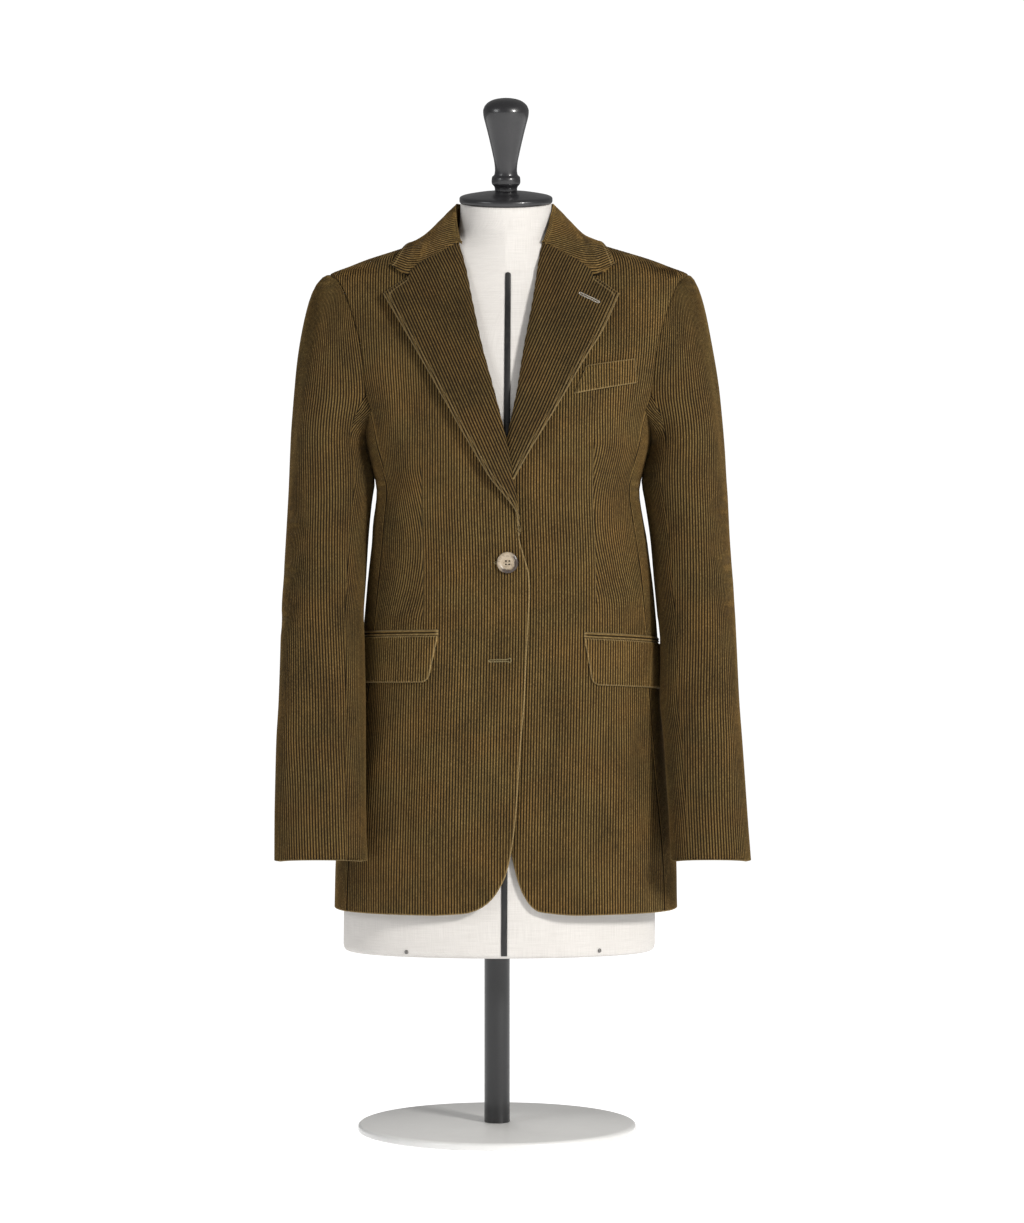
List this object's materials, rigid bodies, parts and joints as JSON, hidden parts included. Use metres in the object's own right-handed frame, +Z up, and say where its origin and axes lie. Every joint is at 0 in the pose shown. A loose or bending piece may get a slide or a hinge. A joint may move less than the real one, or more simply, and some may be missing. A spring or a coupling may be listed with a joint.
{
  "type": "blazer on a limbless dress form",
  "caption": "Single-breasted corduroy blazer with notched lapels, flap pockets and a breast welt, buttoned on a limbless linen dress form that stands on a pole and a round base.",
  "frame": {"origin": "on the ground under the base, at the middle of the whole object's box in X and Y", "axes": "+Z up, -Y the way the blazer faces, +X towards the wearer's left"},
  "size_m": [0.4994, 0.3, 1.1109],
  "materials": {
    "corduroy": "olive brown corduroy, matt pile",
    "linen": "off-white linen, matt",
    "black": "satin black lacquer",
    "black_metal": "satin black paint",
    "pale_metal": "pale satin paint",
    "horn": "pale mottled horn, polished"
  },
  "bodies": {
    "root": {"front_right": "corduroy", "side_panel_right": "corduroy", "back_right": "corduroy", "sleeve_top_right": "corduroy", "sleeve_under_right": "corduroy", "lapel_right": "corduroy", "flap_right": "corduroy", "jet_right": "corduroy", "front_left": "corduroy", "side_panel_left": "corduroy", "back_left": "corduroy", "sleeve_top_left": "corduroy", "sleeve_under_left": "corduroy", "lapel_left": "corduroy", "flap_left": "corduroy", "jet_left": "corduroy", "collar": "corduroy", "breast_welt": "corduroy", "button_top": "horn", "button_lower": "horn", "form_torso": "linen", "front_strip": "black", "neck_cap": "black", "knob": "black", "pole": "black_metal", "base": "pale_metal"}
  },
  "joints": []
}
